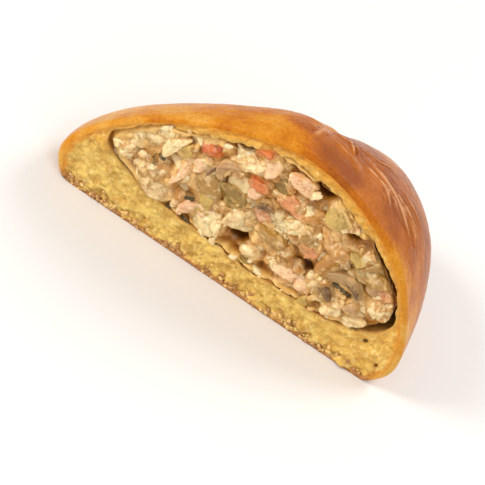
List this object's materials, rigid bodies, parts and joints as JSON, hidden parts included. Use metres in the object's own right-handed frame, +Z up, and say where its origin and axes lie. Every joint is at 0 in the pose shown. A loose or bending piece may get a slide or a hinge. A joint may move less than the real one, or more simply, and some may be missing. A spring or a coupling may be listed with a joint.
{
  "type": "piroshki half",
  "caption": "Half of a baked triangular stuffed bun, cut through so that its creamy diced filling shows.",
  "frame": {"origin": "middle of the half's box in plan, on the flat base it rests on", "axes": "+X along the cut, from the blunt tip to the full side; +Z up; the cut faces -Y"},
  "size_m": [0.0957, 0.0531, 0.0468],
  "materials": {
    "dough": "egg-glazed golden crust, matte yellow crumb on the cut",
    "filling": "moist cream with diced pieces"
  },
  "bodies": {
    "root": {"dough": "dough", "filling": "filling"}
  },
  "joints": []
}
